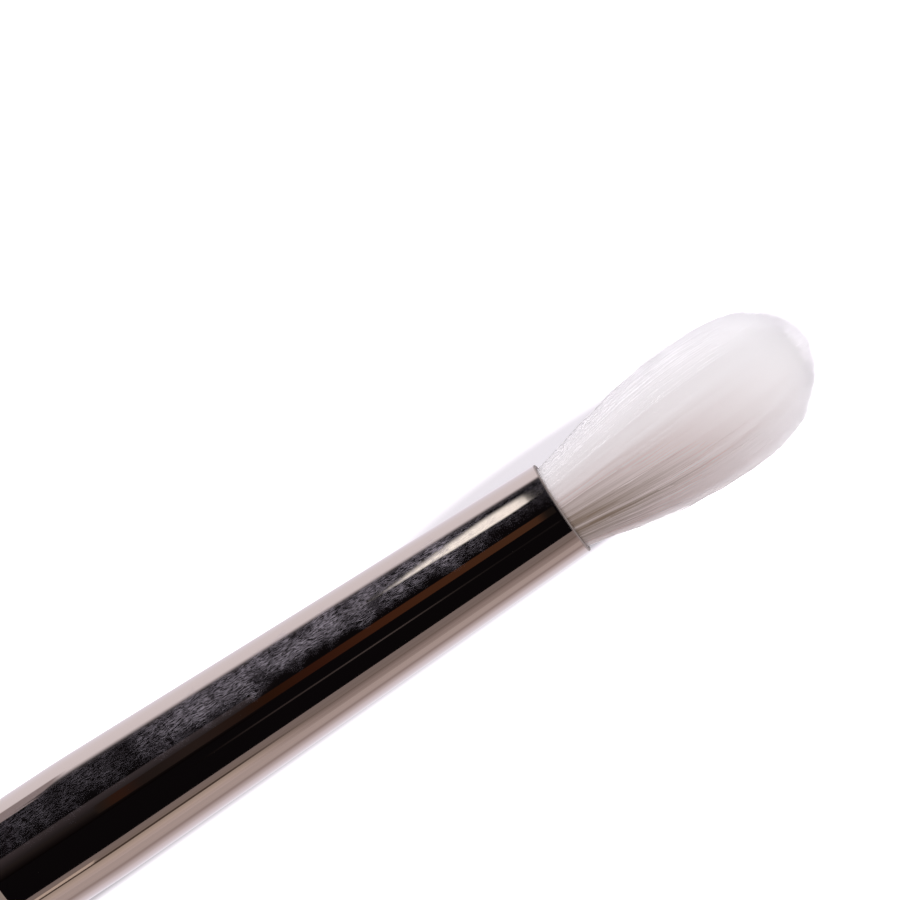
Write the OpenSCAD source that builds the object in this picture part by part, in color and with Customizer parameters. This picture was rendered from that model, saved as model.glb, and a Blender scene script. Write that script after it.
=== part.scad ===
// Eyeshadow brush: a domed tuft of fine hair in a drawn metal ferrule, crimped onto a turned wooden handle.
// The brush lies on its side on a table. +X runs along its axis to the tip of the bristles, +Z is up, and
// the origin is on the table under the middle of its length. Lengths are in millimetres.

/* [Bristles] */
// Length from the mouth of the ferrule to the fullest part of the head
swell_length = 11.2; // [7:0.1:18]
// Length of the dome, from the fullest part of the head to its tip
dome_length = 7.4; // [4:0.1:12]
// Diameter of the head where it is fullest
tuft_d = 9.5; // [8:0.1:14]
// Free length of the bristles inside the ferrule
root_depth = 8; // [4:0.5:12]
// Thickness of the slice of bonded roots
root_slice = 2; // [1:0.1:4]
// Most that a bristle falls short of the dome
uneven = 0.5; // [0:0.1:1]
// Number of bristles across the tuft, an even number
row_count = 18; // [18:2:22]

/* [Ferrule] */
// Outer diameter at the mouth, where the bristles come out
mouth_d = 6.4; // [5:0.1:7.5]
// Outer diameter of the straight rear part
rear_d = 8.4; // [8:0.1:12]
// Length of the cone, from the mouth to the straight part
cone_length = 35.5; // [25:0.5:50]
// Length of the straight part, which grips the handle
straight_length = 12; // [9:0.5:20]
// Thickness of the drawn metal
wall = 0.22; // [0.15:0.01:0.4]
// Rounding of the metal's edges
rim_round = 0.08; // [0.02:0.01:0.1]

/* [Crimp rings] */
// Number of rings rolled into the ferrule
crimp_count = 2; // [1:1:3]
// Width of one ring
crimp_width = 1.4; // [0.8:0.1:1.8]
// Depth of one ring
crimp_depth = 0.3; // [0.1:0.05:0.5]
// Straight metal between two rings
crimp_land = 0.8; // [0.3:0.1:1.2]
// Straight metal between the last ring and the ferrule's rear end
crimp_margin = 1.8; // [0.8:0.1:3]

/* [Handle] */
// Length of the handle behind the ferrule
handle_length = 105; // [70:1:150]
// Diameter of the handle where it is fullest
belly_d = 8.8; // [8.4:0.1:14]
// Distance from the ferrule to the fullest part of the handle
belly_at = 20; // [10:1:40]
// Diameter of the handle at its tail
tail_d = 4.4; // [3:0.1:8]
// Length of the tenon inside the ferrule
tenon_length = 18; // [13:0.5:22]
// Bevel on the front edge of the tenon
tenon_bevel = 0.8; // [0.3:0.1:1.5]
// Rounding of the shoulder that meets the ferrule
shoulder_round = 0.15; // [0.05:0.05:0.4]

/* [Bonds] */
// Length of the adhesive plug behind the roots
plug_length = 3; // [1:0.1:6]
// Hollow in the rear face of the plug, left as the adhesive creeps up the wall
plug_hollow = 0.6; // [0.1:0.1:1]
// Thickness of the adhesive film round the tenon
glue_film = 0.12; // [0.05:0.01:0.2]
// Clearance between pieces that touch
seat_gap = 0.02; // [0.01:0.01:0.05]

/* [Hidden] */

$fn = 96;
// Points in a rounded edge, a crimp ring and each curve of the handle
round_steps = 3;
crimp_steps = 10;
handle_steps = 14;

// Shape of the head: how late it swells, how blunt its dome is, and how far the tips lean in.
// The outermost tips stand at edge_share of the full radius.
swell_power = 1.1;
dome_power = 2.2;
lean_power = 1.5;
edge_share = 0.97;
// Width of a bristle as a share of its cell, at the root and at the fullest part of the head
root_thickness_share = 0.36;
full_thickness_share = 0.34;
// Where the extra bend of the outer bristles lies, as a share of the swell
bend_share = 0.5;
// Rings of outer bristles that have the extra bend
bent_ring_count = 4;
// Corners of a bristle's section, and sections along a bristle with and without the extra bend
corner_count = 3;
bent_station_count = 4;
plain_station_count = 3;
// Uneven tips repeat with the golden section, so no pattern shows
golden_share = 0.618;
// The handle's taper runs in slowly from the belly
taper_power = 1.4;

mouth_r = mouth_d / 2;
rear_r = rear_d / 2;
belly_r = belly_d / 2;
tail_r = tail_d / 2;
ferrule_length = cone_length + straight_length;
tuft_length = swell_length + dome_length;
root_end = root_depth + root_slice;
rim = min(rim_round, wall / 3);
crimp_pitch = crimp_width + crimp_land;
axis_height = max(tuft_d, belly_d) / 2;
mouth_x = (ferrule_length + handle_length - tuft_length) / 2;

// Distances from the mouth to the middles of the crimp rings, and to all points that shape the metal
crimp_centres = [for (i = [crimp_count - 1:-1:0])
    ferrule_length - crimp_margin - crimp_width / 2 - i * crimp_pitch];
bends = concat([cone_length],
    [for (c = crimp_centres) for (i = [0:crimp_steps]) c + crimp_width * (i / crimp_steps - 1 / 2)]);

// Depth of the crimp rings at a distance s from the mouth
function crimp_dip(s) = sum([for (c = crimp_centres)
    abs(s - c) < crimp_width / 2 ? crimp_depth * (1 + cos(360 * (s - c) / crimp_width)) / 2 : 0]);

// Outer radius of the ferrule and radius of its bore, at a distance s from the mouth
function metal_r(s) = s < cone_length
    ? mouth_r + (rear_r - mouth_r) * s / cone_length
    : rear_r - crimp_dip(s);
function bore_r(s) = metal_r(s) - wall;

function sum(list, i = 0) = i < len(list) ? list[i] + sum(list, i + 1) : 0;
function reversed(list) = [for (i = [len(list) - 1:-1:0]) list[i]];

// Profile points along the bore from one distance to another, a clearance inside the metal
function along_bore(from, to, inset) = [
    for (s = concat([from], [for (b = bends) if (b > from && b < to) b], [to])) [bore_r(s) - inset, s]];

// Everything is drawn with the mouth of the ferrule at zero and its axis upright, then laid on the table
module towards_tail() {
    translate([mouth_x, 0, axis_height]) rotate([0, -90, 0]) children();
}

module towards_tip() {
    translate([mouth_x, 0, axis_height]) rotate([0, 90, 0]) children();
}

// Bristles.
// They stand on a square grid of cells that is mapped onto a disc. Each cell of the slice of roots carries
// one three-sided bristle, which follows its own line out of the ferrule, so none crosses another.
half_count = (row_count - 1) / 2;
cells = [for (i = [0:row_count - 1]) for (j = [0:row_count - 1]) [i, j]];
function ring_of(cell) = max(abs(cell[0] - half_count), abs(cell[1] - half_count));
bent_cells = [for (c = cells) if (ring_of(c) > half_count - bent_ring_count) c];
plain_cells = [for (c = cells) if (ring_of(c) <= half_count - bent_ring_count) c];

// A point of the square grid, moved onto rings round the axis
function on_disc(a, b) = max(abs(a), abs(b)) == 0 ? [0, 0]
    : abs(a) >= abs(b) ? a * [cos(45 * b / a), sin(45 * b / a)]
    : b * [sin(45 * a / b), cos(45 * a / b)];

// Radius of the outermost ring of bristles inside the ferrule, at a depth s, and outside it, at a
// distance out
ring_share = half_count / (row_count / 2);
function reach_inside(s) = (bore_r(s) - seat_gap) * ring_share;
full_reach = tuft_d / 2 - tuft_d / row_count * full_thickness_share;
function reach_outside(out) = reach_inside(0)
    + (full_reach - reach_inside(0)) * sin(90 * pow(out / swell_length, swell_power));

function spot(a, b, reach, height) = concat(on_disc(a, b) * reach / half_count, [height]);

// The corners of one bristle where the outermost ring has the given reach
function bristle_ring(cell, reach, height, thickness_share) = [
    for (k = [0:corner_count - 1]) let (t = 90 + 360 * k / corner_count)
    spot(cell[0] - half_count + thickness_share * cos(t), cell[1] - half_count + thickness_share * sin(t),
        reach, height)];

function tip_of(cell, number) = let (
        share = edge_share * ring_of(cell) / half_count,
        lean = pow(share, lean_power),
        rise = pow(1 - lean * lean, 1 / dome_power),
        trim = uneven * (number * golden_share - floor(number * golden_share)),
        scale_in = lean / (ring_of(cell) / half_count))
    spot(cell[0] - half_count, cell[1] - half_count, full_reach * scale_in,
        swell_length + dome_length * rise - trim);

// One bristle: its rings of three corners from the root to the fullest part of the head, and then its tip
function bristle_points(cell, number, bent) = concat(
    bristle_ring(cell, reach_inside(root_depth), -root_depth, root_thickness_share),
    bristle_ring(cell, reach_inside(0), 0, root_thickness_share),
    bent ? bristle_ring(cell, reach_outside(bend_share * swell_length), bend_share * swell_length,
        full_thickness_share) : [],
    bristle_ring(cell, full_reach, swell_length, full_thickness_share),
    [tip_of(cell, number)]);

function bristle_faces(first, rings) = concat(
    [for (r = [0:rings - 2]) for (k = [0:corner_count - 1]) let (
            a = first + corner_count * r + k,
            b = first + corner_count * r + (k + 1) % corner_count)
        each [[a, b, b + corner_count], [a, b + corner_count, a + corner_count]]],
    [for (k = [0:corner_count - 1]) let (last = first + corner_count * (rings - 1))
        [last + k, last + (k + 1) % corner_count, first + corner_count * rings]]);

// The front of a cell, with a hole where its three-cornered bristle stands
function corner(i, j) = i * (row_count + 1) + j;
function cell_faces(cell, foot) = let (
        i = cell[0],
        j = cell[1],
        c = [corner(i, j), corner(i + 1, j), corner(i + 1, j + 1), corner(i, j + 1)],
        t = [foot, foot + 1, foot + 2])
    [[c[0], c[1], t[1]], [c[1], t[2], t[1]], [c[1], c[2], t[2]], [c[2], t[0], t[2]],
        [c[2], c[3], t[0]], [c[3], t[1], t[0]], [c[3], c[0], t[1]]];

// The cells' corners on the slice's front face, and its rim there and on its rear face
corner_points = [for (i = [0:row_count]) for (j = [0:row_count])
    spot(i - row_count / 2, j - row_count / 2, reach_inside(root_depth), -root_depth)];
edge_steps = [0:row_count - 1];
rim_cells = concat([for (k = edge_steps) [k, 0]], [for (k = edge_steps) [row_count, k]],
    [for (k = edge_steps) [row_count - k, row_count]], [for (k = edge_steps) [0, row_count - k]]);
rear_points = [for (c = rim_cells)
    spot(c[0] - row_count / 2, c[1] - row_count / 2, reach_inside(root_end), -root_end)];

first_rear = len(corner_points);
first_bent = first_rear + len(rear_points);
bent_point_count = corner_count * bent_station_count + 1;
plain_point_count = corner_count * plain_station_count + 1;
first_plain = first_bent + bent_point_count * len(bent_cells);

slice_faces = concat(
    [for (k = [0:len(rim_cells) - 1]) let (
            m = (k + 1) % len(rim_cells),
            a = corner(rim_cells[k][0], rim_cells[k][1]),
            b = corner(rim_cells[m][0], rim_cells[m][1]))
        each [[first_rear + k, first_rear + m, b], [first_rear + k, b, a]]],
    [for (k = [1:len(rim_cells) - 2]) [first_rear, first_rear + k + 1, first_rear + k]]);

module bristles() {
    points = concat(corner_points, rear_points,
        [for (n = [0:len(bent_cells) - 1]) each bristle_points(bent_cells[n], n, true)],
        [for (n = [0:len(plain_cells) - 1]) each bristle_points(plain_cells[n], n, false)]);
    faces = concat(slice_faces,
        [for (n = [0:len(bent_cells) - 1]) let (foot = first_bent + bent_point_count * n)
            each concat(cell_faces(bent_cells[n], foot), bristle_faces(foot, bent_station_count))],
        [for (n = [0:len(plain_cells) - 1]) let (foot = first_plain + plain_point_count * n)
            each concat(cell_faces(plain_cells[n], foot), bristle_faces(foot, plain_station_count))]);
    color("ghostwhite") towards_tip()
        polyhedron(points, [for (f = faces) reversed(f)]);
}

// The adhesive that fills the bore behind the roots, with a hollow rear face
module glue_plug() {
    front = root_end + seat_gap;
    back = front + plug_length;
    hollow = min(plug_hollow, plug_length / 2);
    color("wheat") towards_tail() rotate_extrude()
        polygon(concat([[0, front]], along_bore(front, back, seat_gap),
            [for (i = [handle_steps:-1:0]) let (u = i / handle_steps)
                [(bore_r(back) - seat_gap - wall) * u, back - hollow * (1 - u * u)]]));
}

// The drawn tube: rounded mouth, cone, straight part with its crimp rings, rounded rear edge
module ferrule() {
    outside = concat(
        [for (i = [0:round_steps]) let (t = 90 * i / round_steps)
            [metal_r(rim) - rim * (1 - sin(t)), rim * (1 - cos(t))]],
        [for (s = bends) [metal_r(s), s]],
        [for (i = [0:round_steps]) let (t = 90 * i / round_steps)
            [rear_r - rim * (1 - cos(t)), ferrule_length - rim * (1 - sin(t))]]);
    inside = concat(
        [for (i = [0:round_steps]) let (t = 90 * i / round_steps)
            [rear_r - wall + rim * (1 - sin(t)), ferrule_length - rim * (1 - cos(t))]],
        [for (s = reversed(bends)) [bore_r(s), s]],
        [for (i = [0:round_steps]) let (t = 90 * i / round_steps)
            [bore_r(rim) + rim * (1 - cos(t)), rim * (1 - sin(t))]]);
    color("silver") towards_tail() rotate_extrude() polygon(concat(outside, inside));
}

// The film of adhesive that fills the space between the ferrule and the tenon
tenon_front = ferrule_length - tenon_length;

module tenon_glue() {
    front = tenon_front + tenon_bevel;
    back = ferrule_length - rim;
    color("khaki") towards_tail() rotate_extrude()
        polygon(concat(along_bore(front, back, seat_gap),
            reversed(along_bore(front, back, seat_gap + glue_film))));
}

// The turned handle: grooved tenon, shoulder flush with the ferrule, belly, long taper and round tail
module handle() {
    inset = glue_film + 2 * seat_gap;
    shoulder = ferrule_length + seat_gap;
    belly = ferrule_length + belly_at;
    taper = handle_length - belly_at - tail_r;
    tenon = concat([[0, tenon_front], [bore_r(tenon_front) - inset - tenon_bevel, tenon_front]],
        along_bore(tenon_front + tenon_bevel, shoulder, inset));
    rounding = [for (i = [0:round_steps]) let (t = 90 * i / round_steps)
        [rear_r - shoulder_round * (1 - sin(t)), shoulder + shoulder_round * (1 - cos(t))]];
    swell = [for (i = [1:handle_steps]) let (u = i / handle_steps)
        [rear_r + (belly_r - rear_r) * sin(90 * u), shoulder + (belly - shoulder) * u]];
    tail = [for (i = [1:handle_steps]) let (u = i / handle_steps)
        [belly_r + (tail_r - belly_r) * pow(u, taper_power), belly + taper * u]];
    end = [for (i = [1:handle_steps]) let (t = 90 * i / handle_steps)
        [tail_r * cos(t), belly + taper + tail_r * sin(t)]];
    color("black") towards_tail() rotate_extrude()
        polygon(concat(tenon, rounding, swell, tail, end));
}

bristles();
glue_plug();
ferrule();
tenon_glue();
handle();
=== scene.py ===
"""Eyeshadow brush: white hair, plated ferrule and lacquered handle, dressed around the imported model."""

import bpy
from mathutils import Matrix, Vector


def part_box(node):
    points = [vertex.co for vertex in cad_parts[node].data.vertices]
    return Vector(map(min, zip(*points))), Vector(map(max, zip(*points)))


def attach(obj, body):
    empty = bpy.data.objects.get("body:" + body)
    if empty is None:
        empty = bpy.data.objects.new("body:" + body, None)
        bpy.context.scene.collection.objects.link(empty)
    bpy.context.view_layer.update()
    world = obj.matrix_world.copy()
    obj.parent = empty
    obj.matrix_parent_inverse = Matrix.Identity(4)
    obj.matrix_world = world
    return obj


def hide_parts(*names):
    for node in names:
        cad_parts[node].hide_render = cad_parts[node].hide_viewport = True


bl_info = {
    "name": "Eyeshadow Brush",
    "version": (1, 0, 0),
    "blender": (4, 5, 0),
    "location": "View3D > Sidebar > Brush",
    "description": "Builds the hair, the ferrule, the handle and the studio of an eyeshadow brush",
    "category": "Object",
}

import math

import bpy
import numpy as np
from bpy.props import FloatProperty, FloatVectorProperty, IntProperty, PointerProperty
from mathutils import Matrix, Vector

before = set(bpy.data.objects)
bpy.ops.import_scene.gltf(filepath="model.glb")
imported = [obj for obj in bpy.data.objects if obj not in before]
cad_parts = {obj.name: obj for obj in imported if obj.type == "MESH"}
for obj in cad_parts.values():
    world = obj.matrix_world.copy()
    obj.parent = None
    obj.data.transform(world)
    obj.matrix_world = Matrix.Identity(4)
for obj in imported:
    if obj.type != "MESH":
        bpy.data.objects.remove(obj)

MM = 0.001
BODY = "root"

# The brush lies along X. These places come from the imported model.
FERRULE_LOW, FERRULE_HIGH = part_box("ferrule")
HANDLE_LOW, HANDLE_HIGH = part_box("handle")
TUFT_LOW, TUFT_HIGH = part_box("bristles")
MOUTH_X = FERRULE_HIGH.x
FERRULE_LENGTH = FERRULE_HIGH.x - FERRULE_LOW.x
REAR_RADIUS = (FERRULE_HIGH.y - FERRULE_LOW.y) / 2
AXIS_Z = (FERRULE_HIGH.z + FERRULE_LOW.z) / 2
HANDLE_LENGTH = FERRULE_LOW.x - HANDLE_LOW.x
TENON_DEPTH = HANDLE_HIGH.x - FERRULE_LOW.x
BELLY_RADIUS = (HANDLE_HIGH.y - HANDLE_LOW.y) / 2
TUFT_LENGTH = TUFT_HIGH.x - MOUTH_X
ROOT_END = MOUTH_X - TUFT_LOW.x
FERRULE_MIDDLE = (MOUTH_X - 15 * MM, 0, AXIS_Z)

# The power of the head's dome. At 2 its outline would be an ellipse, and above 2 it is blunter.
DOME_POWER = 2.2

# Stations along the hairs as shares of their free length, and their width there. The first station of a
# long hair is its root inside the ferrule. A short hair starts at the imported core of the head.
LONG_HAIR = np.array([(-1, 1), (0, 1), (0.13, 1), (0.28, 1), (0.45, 1.05), (0.62, 1.05), (0.78, 1),
                      (0.91, 0.72), (1, 0)])
SHORT_HAIR = np.array([(0.62, 1), (0.72, 1), (0.82, 1), (0.92, 0.75), (1, 0)])


def length(name, description, default, low=0.0):
    """A size in metres, for a property group."""
    return FloatProperty(name=name, description=description, default=default, min=low, unit="LENGTH")


def colour(name, description, default):
    """A linear colour, for a property group."""
    return FloatVectorProperty(name=name, description=description, default=default, min=0.0, max=1.0,
                               size=3, subtype="COLOR")


class HairSettings(bpy.types.PropertyGroup):
    """Sizes and colours of the tuft"""
    outer_count: IntProperty(name="Outer hairs", description="Hairs near the surface of the head",
                             default=12000, min=100)
    core_count: IntProperty(name="Tip hairs", description="Hairs round the middle of the tip",
                            default=7500, min=100)
    lock_count: IntProperty(name="Locks", description="Locks that the hairs gather in", default=600, min=10)
    width: length("Hair width", "Width of one hair at the ferrule", 0.074 * MM, 0.01 * MM)
    fullest: length("Fullest at", "Distance from the ferrule to the fullest part", 11.2 * MM)
    radius: length("Head radius", "Radius of the head where it is fullest", 4.76 * MM)
    root_slice: length("Bonded roots", "Thickness of the slice of bonded roots", 2 * MM)
    lean: length("Lean", "How far the tip leans to one side", 0.4 * MM)
    # The hair's colour runs from tint through middle to shade as its tone falls; the lower tones are painted
    # shade.
    tint: colour("Hair colour", "Colour of hair outside the painted shade", (0.947, 0.949, 0.966))
    middle: colour("Middle colour", "Colour of hair that is half in shade", (0.592, 0.521, 0.512))
    shade: colour("Root shade colour", "Colour deep between the hairs at the ferrule", (0.195, 0.146, 0.112))


class FerruleSettings(bpy.types.PropertyGroup):
    """Sizes and colours of the metal ferrule"""
    mouth_radius: length("Mouth radius", "Outer radius at the mouth", 3.2 * MM)
    cone: length("Cone length", "Length of the cone from the mouth", 35.5 * MM)
    blend: length("Blend", "Half the length of the bend between cone and straight part", 1.2 * MM)
    wall: length("Wall", "Thickness of the metal", 0.22 * MM)
    rim: length("Rim rounding", "Rounding of the metal's edges", 0.105 * MM)
    crimp_width: length("Crimp width", "Width of one crimp ring", 1.4 * MM)
    crimp_depth: length("Crimp depth", "Depth of one crimp ring", 0.3 * MM)
    crimp_pitch: length("Crimp pitch", "Distance between the crimp rings", 2.2 * MM)
    crimp_margin: length("Crimp margin", "From the rear end to the middle of the last ring", 2.5 * MM)
    metal: colour("Metal colour", "Colour of the nickel plating", (0.70, 0.655, 0.62))


class HandleSettings(bpy.types.PropertyGroup):
    """Sizes and colours of the handle"""
    belly_at: length("Belly at", "Distance from the ferrule to the fullest part", 20 * MM)
    tail_radius: length("Tail radius", "Radius at the tail", 2.2 * MM)
    shoulder: length("Shoulder rounding", "Rounding of the edge that meets the ferrule", 0.15 * MM)
    film: length("Glue film", "Space that the glue fills round the tenon", 0.16 * MM)
    bevel: length("Tenon bevel", "Bevel on the front of the tenon", 0.8 * MM)
    lacquer: colour("Lacquer", "Colour of the lacquer", (0.012, 0.011, 0.012))


class StudioSettings(bpy.types.PropertyGroup):
    """Camera, table and lights"""
    distance: length("Camera distance", "From the camera to the brush", 350 * MM)
    view_width: length("View width", "Width of the picture at the brush", 56.25 * MM)
    tilt: FloatProperty(name="Camera tilt", description="Lean of the camera towards the hair",
                        default=math.radians(4.0), subtype="ANGLE")
    heading: FloatProperty(name="Brush heading", description="Rise of the brush's axis in the picture",
                           default=math.radians(33.4), subtype="ANGLE")
    table: colour("Table colour", "Colour of the table", (0.25, 0.24, 0.255))
    glow: FloatProperty(name="Table glow", description="Light that comes through the table", default=2.5,
                        min=0.0)
    ambient: FloatProperty(name="Ambient light", description="Soft light from all around", default=0.54,
                           min=0.0)


def deselect():
    """Leaves nothing selected, in object mode."""
    if bpy.context.mode != "OBJECT":
        bpy.ops.object.mode_set(mode="OBJECT")
    bpy.ops.object.select_all(action="DESELECT")


def settle(piece, name):
    """Names a finished piece, puts its place into its mesh and lets it ride on the brush."""
    deselect()
    piece.select_set(True)
    bpy.context.view_layer.objects.active = piece
    bpy.ops.object.transform_apply(location=True, rotation=True, scale=True)
    piece.name = piece.data.name = name
    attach(piece, BODY)
    deselect()
    return piece


def turned_piece(name, profile, sides):
    """A closed turned shell, made ring by ring from its profile of (distance behind the mouth, radius)."""
    deselect()
    start, radius = profile[0]
    bpy.ops.mesh.primitive_circle_add(vertices=sides, radius=radius, fill_type="NOTHING",
                                      location=(MOUTH_X - start, 0, AXIS_Z), rotation=(0, math.pi / 2, 0))
    piece = bpy.context.object
    bpy.ops.object.transform_apply(location=True, rotation=True, scale=True)
    bpy.ops.object.mode_set(mode="EDIT")
    bpy.ops.mesh.select_all(action="SELECT")
    for (s, r), (next_s, next_r) in zip(profile, profile[1:]):
        bpy.ops.mesh.extrude_region_move(TRANSFORM_OT_translate={"value": (s - next_s, 0, 0)})
        bpy.ops.transform.resize(value=(1, next_r / r, next_r / r),
                                 center_override=(MOUTH_X - next_s, 0, AXIS_Z))
    bpy.ops.mesh.select_all(action="SELECT")
    bpy.ops.mesh.remove_doubles(threshold=0.0005 * MM)
    bpy.ops.mesh.normals_make_consistent(inside=False)
    bpy.ops.object.mode_set(mode="OBJECT")
    bpy.ops.object.shade_smooth_by_angle(angle=math.radians(38))
    return settle(piece, name)


def crimp_middles(settings):
    """Distances from the mouth to the middles of the two crimp rings."""
    last = FERRULE_LENGTH - settings.crimp_margin
    return last - settings.crimp_pitch, last


def crimp_dip(settings, s):
    """Depth of the crimp rings at a distance behind the mouth."""
    for middle in crimp_middles(settings):
        off = abs(s - middle)
        if off < settings.crimp_width / 2:
            return settings.crimp_depth * (1 + math.cos(math.tau * off / settings.crimp_width)) / 2
    return 0.0


def metal_radius(settings, s):
    """Outer radius of the ferrule at a distance behind the mouth."""
    slope = (REAR_RADIUS - settings.mouth_radius) / settings.cone
    past = (s - settings.cone) / settings.blend
    if past < -1:
        return settings.mouth_radius + slope * s
    bend = slope * settings.blend * (1 - past) ** 2 / 4 if past < 1 else 0.0
    return REAR_RADIUS - bend - crimp_dip(settings, s)


def metal_stations(settings):
    """Distances behind the mouth where the ferrule's profile has points."""
    near_rim = settings.rim + 0.2 * MM
    straight_start = settings.cone - settings.blend
    places = [near_rim, *np.linspace(0, straight_start, 23)[1:-1]]
    places += [*np.linspace(straight_start, settings.cone + settings.blend, 17)]
    edge, lead = settings.crimp_width / 2, 0.06 * MM
    for middle in crimp_middles(settings):
        places += [middle - edge - lead, *np.linspace(middle - edge, middle + edge, 15)]
        places += [middle + edge + lead]
    return [float(place) for place in (*places, FERRULE_LENGTH - near_rim)]


def rounded(s, r, size, first, steps=5):
    """Points of a quarter round of an edge, from one direction to the next, in degrees."""
    turns = [math.radians(first + 90 * k / steps) for k in range(steps + 1)]
    return [(s - size * math.cos(t), r + size * math.sin(t)) for t in turns]


def ferrule_profile(settings):
    """The closed profile of the drawn tube, round its outside and back along its bore."""
    rim, wall = settings.rim, settings.wall
    stations = metal_stations(settings)
    mouth = settings.mouth_radius
    outside = rounded(rim, mouth - rim, rim, 0)
    outside += [(s, metal_radius(settings, s)) for s in stations]
    outside += [(2 * (FERRULE_LENGTH - rim) - s, r)
                for s, r in reversed(rounded(FERRULE_LENGTH - rim, REAR_RADIUS - rim, rim, 0))]
    inside = [(FERRULE_LENGTH, REAR_RADIUS - wall + rim), (FERRULE_LENGTH - rim, REAR_RADIUS - wall)]
    inside += [(s, metal_radius(settings, s) - wall) for s in reversed(stations)]
    inside += [(2 * rim, mouth - wall), (rim, mouth - wall), (rim * 0.3, mouth - wall + rim * 0.3)]
    inside += [(0, mouth - wall + rim)]
    return outside + inside + [(0, mouth - rim)]


def handle_profile(settings, ferrule):
    """The profile of the turned handle: tenon, shoulder, belly, taper and round tail."""
    front = FERRULE_LENGTH - TENON_DEPTH
    inset = ferrule.wall + settings.film
    centre = 0.02 * MM
    profile = [(front, centre), (front, metal_radius(ferrule, front) - inset - settings.bevel)]
    start = front + settings.bevel
    profile += [(start, metal_radius(ferrule, start) - inset)]
    profile += [(s, metal_radius(ferrule, s) - inset) for s in metal_stations(ferrule) if s > start]
    shoulder = FERRULE_LENGTH + 0.02 * MM
    edge = settings.shoulder
    profile += [(shoulder, REAR_RADIUS - inset)]
    profile += rounded(shoulder + edge, REAR_RADIUS - edge, edge, 0)
    belly = FERRULE_LENGTH + settings.belly_at
    end = FERRULE_LENGTH + HANDLE_LENGTH
    tail = settings.tail_radius
    steps = 24
    for k in range(1, steps + 1):
        u = k / steps
        swell = REAR_RADIUS + (BELLY_RADIUS - REAR_RADIUS) * math.sin(math.pi * u / 2)
        profile.append((shoulder + edge + (belly - shoulder - edge) * u, swell))
    for k in range(1, 2 * steps + 1):
        u = k / (2 * steps)
        profile.append((belly + (end - tail - belly) * u, BELLY_RADIUS + (tail - BELLY_RADIUS) * u ** 1.4))
    for k in range(1, steps):
        t = math.pi / 2 * k / steps
        profile.append((end - tail + tail * math.sin(t), tail * math.cos(t)))
    return profile + [(end, centre)]


def material(name, **values):
    """A new Principled material with its plain values set on the shader's own sockets."""
    made = bpy.data.materials.new(name)
    made.use_nodes = True
    shader = made.node_tree.nodes["Principled BSDF"]
    for socket, value in values.items():
        shader.inputs[socket.replace("_", " ")].default_value = value
    return made, made.node_tree, shader


def show(tree, shader):
    """Makes a shader the one that the surface shows."""
    tree.links.new(shader.outputs[0], tree.nodes["Material Output"].inputs["Surface"])


def node(tree, kind, inputs=None, **settings):
    """Adds a node, sets its settings, and sets or links its inputs."""
    made = tree.nodes.new(kind)
    for name, value in settings.items():
        setattr(made, name, value)
    for key, value in (inputs or {}).items():
        if isinstance(value, bpy.types.NodeSocket):
            tree.links.new(value, made.inputs[key])
        else:
            made.inputs[key].default_value = value
    return made


def maths(tree, operation, *values):
    """What a Math node makes of numbers and sockets."""
    return node(tree, "ShaderNodeMath", dict(enumerate(values)), operation=operation).outputs[0]


def vector_maths(tree, operation, *values):
    """What a Vector Math node makes of vectors and sockets."""
    return node(tree, "ShaderNodeVectorMath", dict(enumerate(values)), operation=operation).outputs


def ranged(tree, value, low, high, to_low=0.0, to_high=1.0, smooth=False):
    """A value carried from one range to another, held at its ends."""
    limits = {"Value": value, "From Min": low, "From Max": high, "To Min": to_low, "To Max": to_high}
    kind = "SMOOTHSTEP" if smooth else "LINEAR"
    return node(tree, "ShaderNodeMapRange", limits, interpolation_type=kind).outputs["Result"]


def noise(tree, place, scale, detail):
    """The outputs of a noise texture at a place."""
    return node(tree, "ShaderNodeTexNoise", {"Vector": place, "Scale": scale, "Detail": detail}).outputs


def blended(tree, share, first, second):
    """A blend of two colours, each a plain colour or a socket."""
    first, second = (tint if isinstance(tint, bpy.types.NodeSocket) else (*tint, 1)
                     for tint in (first, second))
    made = node(tree, "ShaderNodeMix", {"Factor": share, "A": first, "B": second}, data_type="RGBA")
    return made.outputs["Result"]


def ramp(tree, value, stops):
    """A colour that changes with a value, through stops of (value, colour)."""
    made = node(tree, "ShaderNodeValToRGB", {"Fac": value})
    points = made.color_ramp.elements
    while len(points) < len(stops):
        points.new(1.0)
    for point, (place, tint) in zip(points, stops):
        point.position = place
        point.color = (*tint, 1)
    return made.outputs["Color"]


def object_place(tree):
    """The place on the object, whole and as its X, Y and Z."""
    place = node(tree, "ShaderNodeTexCoord").outputs["Object"]
    return place, node(tree, "ShaderNodeSeparateXYZ", {"Vector": place}).outputs


def group(name, inputs, outputs):
    """An empty node group with named float inputs and named outputs, and its two end nodes."""
    tree = bpy.data.node_groups.new(name, "ShaderNodeTree")
    for label, default in inputs.items():
        socket = tree.interface.new_socket(label, in_out="INPUT", socket_type="NodeSocketFloat")
        socket.default_value = default
    for label, kind in outputs.items():
        tree.interface.new_socket(label, in_out="OUTPUT", socket_type=kind)
    return tree, node(tree, "NodeGroupInput"), node(tree, "NodeGroupOutput")


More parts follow.
